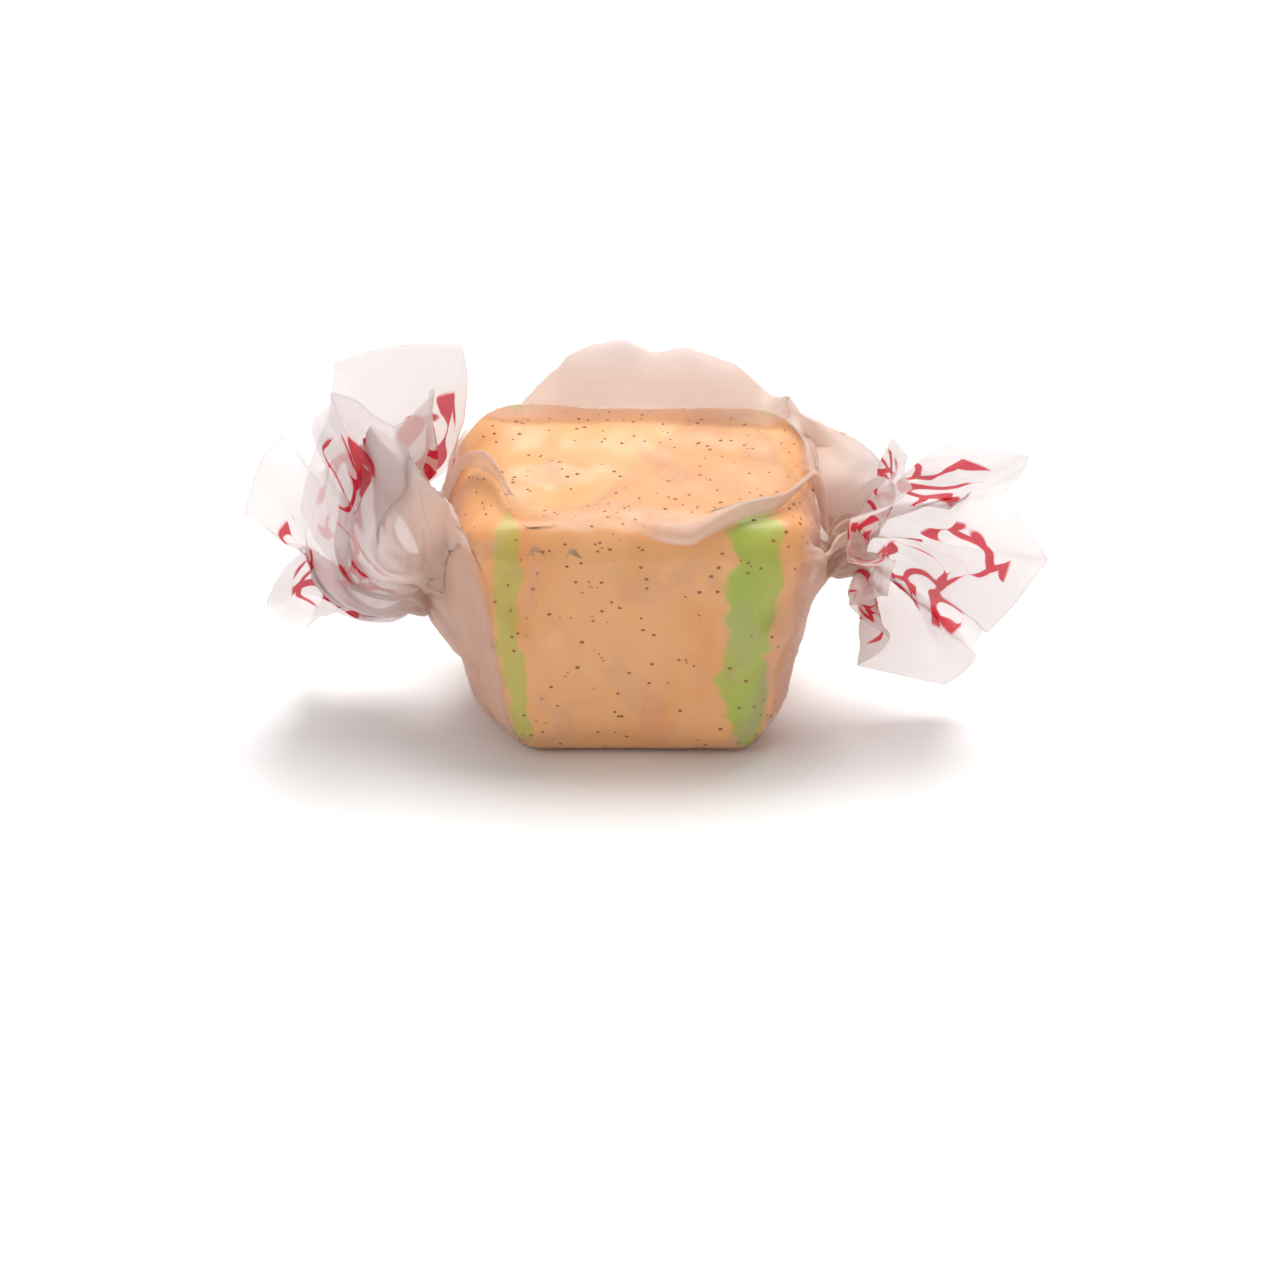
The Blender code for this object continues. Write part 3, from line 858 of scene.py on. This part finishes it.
def make_wrapper(chunk):
    """The waxed sheet, drawn on to the chunk, pulled to its folds, crumpled, and given its thickness."""
    tree = BVHTree.FromObject(chunk, bpy.context.evaluated_depsgraph_get())
    rows = sheet_rows()
    body_columns = np.linspace(0.0, FREE_EDGE_START, SHEET_COLUMNS + 1)
    edge_columns = np.linspace(FREE_EDGE_START, 1.0, EDGE_COLUMNS + 1)[1:]
    columns = np.concatenate((body_columns, edge_columns))
    width = len(columns)
    row_grid, column_grid = np.meshgrid(rows, columns, indexing="ij")
    along, around = row_grid.ravel(), column_grid.ravel()
    points = cling_to_chunk(base_sheet(along, around), along, around, tree)
    points, folded = pull_folds(points, along, around)
    points = crumple(points, along, around, grid_normals(points, len(rows), width))
    places, outward, gap = nearest_on(tree, points)
    points = np.where((gap < PAPER_CLEARANCE)[:, None], places + PAPER_CLEARANCE * outward, points)
    low = np.array(CAD_LOW) / MM + PAPER_CLEARANCE
    high = np.array(CAD_HIGH) / MM - PAPER_CLEARANCE
    points = np.clip(points, low, high)
    corners = [row * width + column for row in range(len(rows) - 1) for column in range(width - 1)]
    faces = [(corner, corner + width, corner + width + 1, corner + 1) for corner in corners]
    wrapper = make_mesh("paper_wrap", points, faces)
    mark_sheet(wrapper, along, around, gap, sheet_milkiness(along, around, folded))
    solid = wrapper.modifiers.new("paper", "SOLIDIFY")
    solid.thickness = SHEET_THICKNESS * MM
    solid.offset = -1.0
    apply_modifiers(wrapper)
    return wrapper


# Materials


class Shading:
    """Shorthand for building one node tree."""

    def __init__(self, tree):
        self.tree = tree

    def add(self, kind, inputs=None, **settings):
        """A node whose inputs are linked where a socket is given and set where a value is."""
        node = self.tree.nodes.new(kind)
        for name, value in settings.items():
            setattr(node, name, value)
        for key, value in (inputs or {}).items():
            if isinstance(value, bpy.types.NodeSocket):
                self.tree.links.new(value, node.inputs[key])
            else:
                node.inputs[key].default_value = value
        return node

    def math(self, operation, first, second=0.0):
        return self.add("ShaderNodeMath", {0: first, 1: second}, operation=operation).outputs[0]

    def vector(self, operation, first, second):
        return self.add("ShaderNodeVectorMath", {0: first, 1: second}, operation=operation).outputs[0]

    def noise(self, vector, scale, detail=2.0):
        inputs = {"Vector": vector, "Scale": scale, "Detail": detail}
        return self.add("ShaderNodeTexNoise", inputs).outputs["Fac"]

    def ramp(self, value, low, high, to_low=0.0, to_high=1.0):
        """The value's range low to high as a smooth step from to_low to to_high."""
        inputs = {"Value": value, "From Min": low, "From Max": high, "To Min": to_low, "To Max": to_high}
        return self.add("ShaderNodeMapRange", inputs, interpolation_type="SMOOTHSTEP").outputs["Result"]

    def blend(self, share, first, second):
        """The second colour laid over the first by this share."""
        return self.add("ShaderNodeMix", {"Factor": share, 6: first, 7: second}, data_type="RGBA").outputs[2]

    def group(self, tree, inputs):
        return self.add("ShaderNodeGroup", inputs, node_tree=tree)

    def show(self, shader):
        """Ends a material with this shader."""
        self.add("ShaderNodeOutputMaterial", {0: shader.outputs[0]})


def new_group(name, inputs, outputs):
    """A node group, with its shading, its input node and its output node."""
    tree = bpy.data.node_groups.new(name, "ShaderNodeTree")
    kinds = {"value": "NodeSocketFloat", "colour": "NodeSocketColor", "vector": "NodeSocketVector"}
    for label, kind, default in inputs:
        socket = tree.interface.new_socket(label, in_out="INPUT", socket_type=kinds[kind])
        if default is not None:
            socket.default_value = default
    for label, kind in outputs:
        tree.interface.new_socket(label, in_out="OUTPUT", socket_type=kinds[kind])
    shading = Shading(tree)
    return tree, shading, shading.add("NodeGroupInput"), shading.add("NodeGroupOutput")


def new_material(name):
    """A material with an empty node tree, and its shading."""
    material = bpy.data.materials.new(name)
    material.use_nodes = True
    material.node_tree.nodes.clear()
    return material, Shading(material.node_tree)


def taffy_colour_group():
    """Peach taffy that runs into green stripes, with the soft cloudy streaks of pulled sugar."""
    tree, shading, given, result = new_group(
        "pulled_taffy_colour",
        (
            ("Green", "value", 0.0),
            ("Peach", "colour", (0.8, 0.395, 0.145, 1.0)),
            ("Deep Peach", "colour", (0.76, 0.31, 0.085, 1.0)),
            ("Stripe", "colour", (0.31, 0.46, 0.025, 1.0)),
            ("Milky", "colour", (0.87, 0.52, 0.29, 1.0)),
            ("Streak Size", "value", 180.0),
        ),
        (("Color", "colour"),),
    )
    place = shading.add("ShaderNodeTexCoord").outputs["Object"]
    upright_streaks = shading.vector("MULTIPLY", place, (1.0, 1.0, 0.45))
    streaks = shading.noise(upright_streaks, given.outputs["Streak Size"], 3.0)
    clouds = shading.noise(place, 420.0)
    deep = shading.ramp(streaks, 0.45, 0.75)
    colour = shading.blend(deep, given.outputs["Peach"], given.outputs["Deep Peach"])
    colour = shading.blend(shading.ramp(clouds, 0.6, 0.8, 0.0, 0.35), colour, given.outputs["Milky"])
    patchy = shading.ramp(streaks, 0.3, 0.7, 1.0, 0.75)
    green = shading.math("MULTIPLY", given.outputs["Green"], patchy)
    colour = shading.blend(green, colour, given.outputs["Stripe"])
    shading.tree.links.new(colour, result.inputs["Color"])
    return tree


def taffy_material(name, colour_group):
    """Soft taffy with a faint gloss, green where its mesh says so."""
    material, shading = new_material(name)
    green = shading.add("ShaderNodeAttribute", attribute_name="green").outputs["Fac"]
    look = shading.group(colour_group, {"Green": green})
    shader = shading.add(
        "ShaderNodeBsdfPrincipled",
        {
            "Base Color": look.outputs["Color"],
            "Roughness": 0.45,
            "Coat Weight": 0.25,
            "Coat Roughness": 0.2,
        },
    )
    shading.show(shader)
    return material


def speck_material():
    """Red-brown spice, no two specks quite alike."""
    material, shading = new_material("spice_specks")
    place = shading.add("ShaderNodeTexCoord").outputs["Object"]
    colour = shading.blend(shading.noise(place, 300.0), (0.16, 0.04, 0.015, 1.0), (0.42, 0.14, 0.05, 1.0))
    shader = shading.add("ShaderNodeBsdfPrincipled", {"Base Color": colour, "Roughness": 0.6})
    shading.show(shader)
    return material


def print_group():
    """A red print of curling strokes, in emblems set round both ends of the sheet."""
    tree, shading, given, result = new_group(
        "red_stroke_print",
        (
            ("Place", "vector", None),
            ("Loop Size", "value", 4.2),
            ("Stroke Width", "value", 0.12),
            ("Curl", "value", 1.5),
            ("Emblem Spacing", "value", 20.8),
            ("Distance From Middle", "value", 30.5),
        ),
        (("Ink", "value"),),
    )
    place = given.outputs["Place"]
    parts = shading.add("ShaderNodeSeparateXYZ", {0: place})
    scale = shading.math("DIVIDE", 1.0, given.outputs["Loop Size"])
    plain = {"Vector": place, "Scale": scale, "Detail": 0.0}
    wander = shading.add("ShaderNodeTexNoise", plain, noise_dimensions="2D").outputs["Color"]
    curl = shading.vector("SUBTRACT", wander, (0.5, 0.5, 0.5))
    reach = shading.math("MULTIPLY", given.outputs["Curl"], given.outputs["Loop Size"])
    curl = shading.add("ShaderNodeVectorMath", {0: curl, "Scale": reach}, operation="SCALE").outputs[0]
    warped = shading.vector("ADD", place, curl)
    cells = shading.add(
        "ShaderNodeTexVoronoi",
        {"Vector": warped, "Scale": scale, "Randomness": 0.9},
        voronoi_dimensions="2D",
        feature="DISTANCE_TO_EDGE",
    )
    weight = shading.add("ShaderNodeSeparateXYZ", {0: wander}).outputs["Z"]
    swell = shading.ramp(weight, 0.3, 0.52, 0.0, 1.25)
    width = shading.math("MULTIPLY", given.outputs["Stroke Width"], swell)
    line = shading.math("DIVIDE", shading.math("SUBTRACT", width, cells.outputs["Distance"]), 0.03)
    line = shading.ramp(line, -0.5, 0.5)
    half = shading.math("DIVIDE", given.outputs["Emblem Spacing"], 2.0)
    minus_half = shading.math("MULTIPLY", half, -1.0)
    wrap = {0: parts.outputs["Y"], 1: half, 2: minus_half}
    around = shading.add("ShaderNodeMath", wrap, operation="WRAP").outputs[0]
    along = shading.math("ABSOLUTE", parts.outputs["X"])
    ring = shading.math("SUBTRACT", along, given.outputs["Distance From Middle"])
    ring = shading.math("POWER", shading.math("DIVIDE", ring, 5.6), 2.0)
    arc = shading.math("POWER", shading.math("DIVIDE", around, 8.4), 2.0)
    emblem = shading.ramp(shading.math("ADD", ring, arc), 1.0, 0.9)
    shading.tree.links.new(shading.math("MULTIPLY", line, emblem), result.inputs["Ink"])
    return tree


def veil_group():
    """How much of the light the paper stops: wax-clear where it clings to taffy, milky where it lifts."""
    tree, shading, given, result = new_group(
        "waxed_veil",
        (
            ("Lift", "value", 0.0),
            ("Milky", "value", 0.0),
            ("Clinging", "value", 0.05),
            ("Lifted", "value", 0.46),
        ),
        (("Alpha", "value"),),
    )
    away = shading.ramp(given.outputs["Lift"], 0.4, 2.0)
    gap = shading.math("SUBTRACT", given.outputs["Lifted"], given.outputs["Clinging"])
    alpha = shading.math("ADD", given.outputs["Clinging"], shading.math("MULTIPLY", away, gap))
    alpha = shading.math("MAXIMUM", alpha, given.outputs["Milky"])
    shading.tree.links.new(alpha, result.inputs["Alpha"])
    return tree


def paper_colour_group():
    """Waxed paper, warmer near the taffy from painted light bounced off it, under its ink."""
    tree, shading, given, result = new_group(
        "waxed_paper_colour",
        (
            ("Ink", "value", 0.0),
            ("Lift", "value", 0.0),
            ("Paper", "colour", (0.84, 0.775, 0.77, 1.0)),
            ("Painted Taffy Bounce", "colour", (0.9, 0.6, 0.4, 1.0)),
            ("Red", "colour", (0.76, 0.02, 0.06, 1.0)),
        ),
        (("Color", "colour"),),
    )
    # painted bounce light: the paper is tinted warm where it lies close to the taffy, fading out as it lifts
    # away
    painted_bounce_share = shading.ramp(given.outputs["Lift"], 1.2, 6.0, 0.42, 0.0)
    colour = shading.blend(painted_bounce_share, given.outputs["Paper"], given.outputs["Painted Taffy Bounce"])
    colour = shading.blend(given.outputs["Ink"], colour, given.outputs["Red"])
    shading.tree.links.new(colour, result.inputs["Color"])
    return tree


def paper_material():
    """Waxed paper: part clear, part pale sheet that lets light glow through, with its ink."""
    material, shading = new_material("waxed_paper")
    flat = shading.add("ShaderNodeUVMap", uv_map="sheet").outputs[0]
    flat = shading.vector("SUBTRACT", flat, (0.5, 0.5, 0.0))
    place = shading.vector("MULTIPLY", flat, (UV_SPAN, UV_SPAN, 0.0))
    lift = shading.add("ShaderNodeAttribute", attribute_name="lift").outputs["Fac"]
    ink = shading.group(print_group(), {"Place": place}).outputs["Ink"]
    milky = shading.add("ShaderNodeAttribute", attribute_name="milky").outputs["Fac"]
    veil = shading.group(veil_group(), {"Lift": lift, "Milky": milky}).outputs["Alpha"]
    colour = shading.group(paper_colour_group(), {"Ink": ink, "Lift": lift}).outputs["Color"]
    alpha = shading.math("MAXIMUM", veil, shading.math("MULTIPLY", ink, 0.75))
    face = shading.add("ShaderNodeBsdfPrincipled", {"Base Color": colour, "Roughness": 0.38})
    glow = shading.add("ShaderNodeBsdfTranslucent", {"Color": colour})
    sheet = shading.add("ShaderNodeMixShader", {0: 0.5, 1: face.outputs[0], 2: glow.outputs[0]})
    clear = shading.add("ShaderNodeBsdfTransparent")
    veiled = shading.add("ShaderNodeMixShader", {0: alpha, 1: clear.outputs[0], 2: sheet.outputs[0]})
    shading.show(veiled)
    return material


# Specks of spice in the taffy


def specks_tree():
    """Small flat grains scattered over the given surface, and nothing of the surface itself."""
    tree = bpy.data.node_groups.new("scatter_specks", "GeometryNodeTree")
    sockets = {}
    for label, kind, default in (
        ("Surface", "NodeSocketGeometry", None),
        ("Density", "NodeSocketFloat", 420000.0),
        ("Seed", "NodeSocketInt", 5),
        ("Smallest", "NodeSocketFloat", 0.00005),
        ("Largest", "NodeSocketFloat", 0.00016),
        ("Material", "NodeSocketMaterial", None),
    ):
        socket = tree.interface.new_socket(label, in_out="INPUT", socket_type=kind)
        if default is not None:
            socket.default_value = default
        sockets[label] = socket.identifier
    tree.interface.new_socket("Specks", in_out="OUTPUT", socket_type="NodeSocketGeometry")
    build = Shading(tree)
    given = build.add("NodeGroupInput")
    points = build.add(
        "GeometryNodeDistributePointsOnFaces",
        {
            "Mesh": given.outputs["Surface"],
            "Density": given.outputs["Density"],
            "Seed": given.outputs["Seed"],
        },
    )
    grain = build.add("GeometryNodeMeshIcoSphere", {"Radius": 1.0, "Subdivisions": 2})
    size = build.add(
        "FunctionNodeRandomValue",
        {2: given.outputs["Smallest"], 3: given.outputs["Largest"], "Seed": given.outputs["Seed"]},
        data_type="FLOAT",
    )
    shape = build.add("ShaderNodeCombineXYZ", {0: 1.0, 1: 0.7, 2: 0.5})
    sized = {0: shape.outputs[0], "Scale": size.outputs[1]}
    scale = build.add("ShaderNodeVectorMath", sized, operation="SCALE")
    placed = build.add(
        "GeometryNodeInstanceOnPoints",
        {
            "Points": points.outputs["Points"],
            "Instance": grain.outputs["Mesh"],
            "Rotation": points.outputs["Rotation"],
            "Scale": scale.outputs[0],
        },
    )
    real = build.add("GeometryNodeRealizeInstances", {0: placed.outputs[0]})
    painted = build.add(
        "GeometryNodeSetMaterial", {"Geometry": real.outputs[0], "Material": given.outputs["Material"]}
    )
    build.add("NodeGroupOutput", {0: painted.outputs[0]})
    return tree, sockets


def make_specks():
    """The specks scattered over a whole chunk, as one plain mesh."""
    specks = make_chunk("spice_specks")
    tree, sockets = specks_tree()
    scatter = specks.modifiers.new("scatter", "NODES")
    scatter.node_group = tree
    scatter[sockets["Material"]] = speck_material()
    apply_modifiers(specks)
    return specks


# The stage


def add_floor():
    corners = np.array(((-1.0, -1.0, 0.0), (1.0, -1.0, 0.0), (1.0, 1.0, 0.0), (-1.0, 1.0, 0.0)))
    floor = make_mesh("floor", corners * FLOOR_HALF, [(0, 1, 2, 3)])
    material, shading = new_material("white_table")
    white = (0.93, 0.93, 0.93, 1.0)
    shader = shading.add("ShaderNodeBsdfPrincipled", {"Base Color": white, "Roughness": 0.6})
    shading.show(shader)
    floor.data.materials.append(material)


def add_lights():
    """Pale studio surroundings, a large soft light overhead, and a weak one from the left front."""
    world = bpy.data.worlds.new("studio")
    bpy.context.scene.world = world
    world.use_nodes = True
    background = world.node_tree.nodes["Background"]
    background.inputs["Color"].default_value = (1.0, 0.985, 0.97, 1.0)
    background.inputs["Strength"].default_value = 0.42
    for name, place, size, energy in (
        ("overhead_softbox", (60.0, 180.0, 420.0), 360.0, 2.65),
        ("front_fill", (-260.0, -320.0, 260.0), 260.0, 0.42),
    ):
        light = bpy.data.lights.new(name, "AREA")
        light.energy = energy
        light.size = size * MM
        lamp = bpy.data.objects.new(name, light)
        lamp.location = Vector(place) * MM
        aim = Vector((0.0, 0.0, 0.01)) - lamp.location
        lamp.rotation_euler = aim.to_track_quat("-Z", "Y").to_euler()
        bpy.context.scene.collection.objects.link(lamp)


def add_camera():
    """The photograph's camera, far off and level with the frame's columns."""
    data = bpy.data.cameras.new("camera")
    data.sensor_width = 36.0
    data.lens = data.sensor_width * CAMERA_DISTANCE * PIXELS_PER_MM / FRAME_PIXELS
    data.clip_start = 0.01
    camera = bpy.data.objects.new("camera", data)
    elevation = math.radians(CAMERA_ELEVATION)
    target_height = (FLOOR_ROW - FRAME_PIXELS / 2.0) / PIXELS_PER_MM / math.cos(elevation)
    target_x = (FRAME_PIXELS / 2.0 - BODY_COLUMN) / PIXELS_PER_MM
    target = Vector((target_x, 0.0, target_height))
    backward = Vector((0.0, -math.cos(elevation), math.sin(elevation)))
    camera.location = (target + CAMERA_DISTANCE * backward) * MM
    camera.rotation_euler = (math.pi / 2.0 - elevation, 0.0, 0.0)
    bpy.context.scene.collection.objects.link(camera)
    bpy.context.scene.camera = camera


def main():
    bpy.context.scene.view_settings.view_transform = "Standard"
    colour_group = taffy_colour_group()
    chunk, ribbons = make_taffy()
    whole = make_chunk("whole_chunk")
    wrapper = make_wrapper(whole)
    bpy.data.objects.remove(whole)
    wrapper.data.materials.append(paper_material())
    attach(wrapper, "root")
    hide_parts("wrapper")
    mark_green(chunk)
    chunk.data.materials.clear()
    chunk.data.materials.append(taffy_material("peach_taffy", colour_group))
    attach(chunk, "root")
    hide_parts("taffy")
    green_taffy = taffy_material("green_taffy", colour_group)
    for stripe, ribbon in zip(STRIPES, ribbons):
        mark_green(ribbon)
        ribbon.data.materials.clear()
        ribbon.data.materials.append(green_taffy)
        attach(ribbon, "root")
        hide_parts(stripe["node"])
    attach(make_specks(), "root")
    add_floor()
    add_lights()
    add_camera()


main()
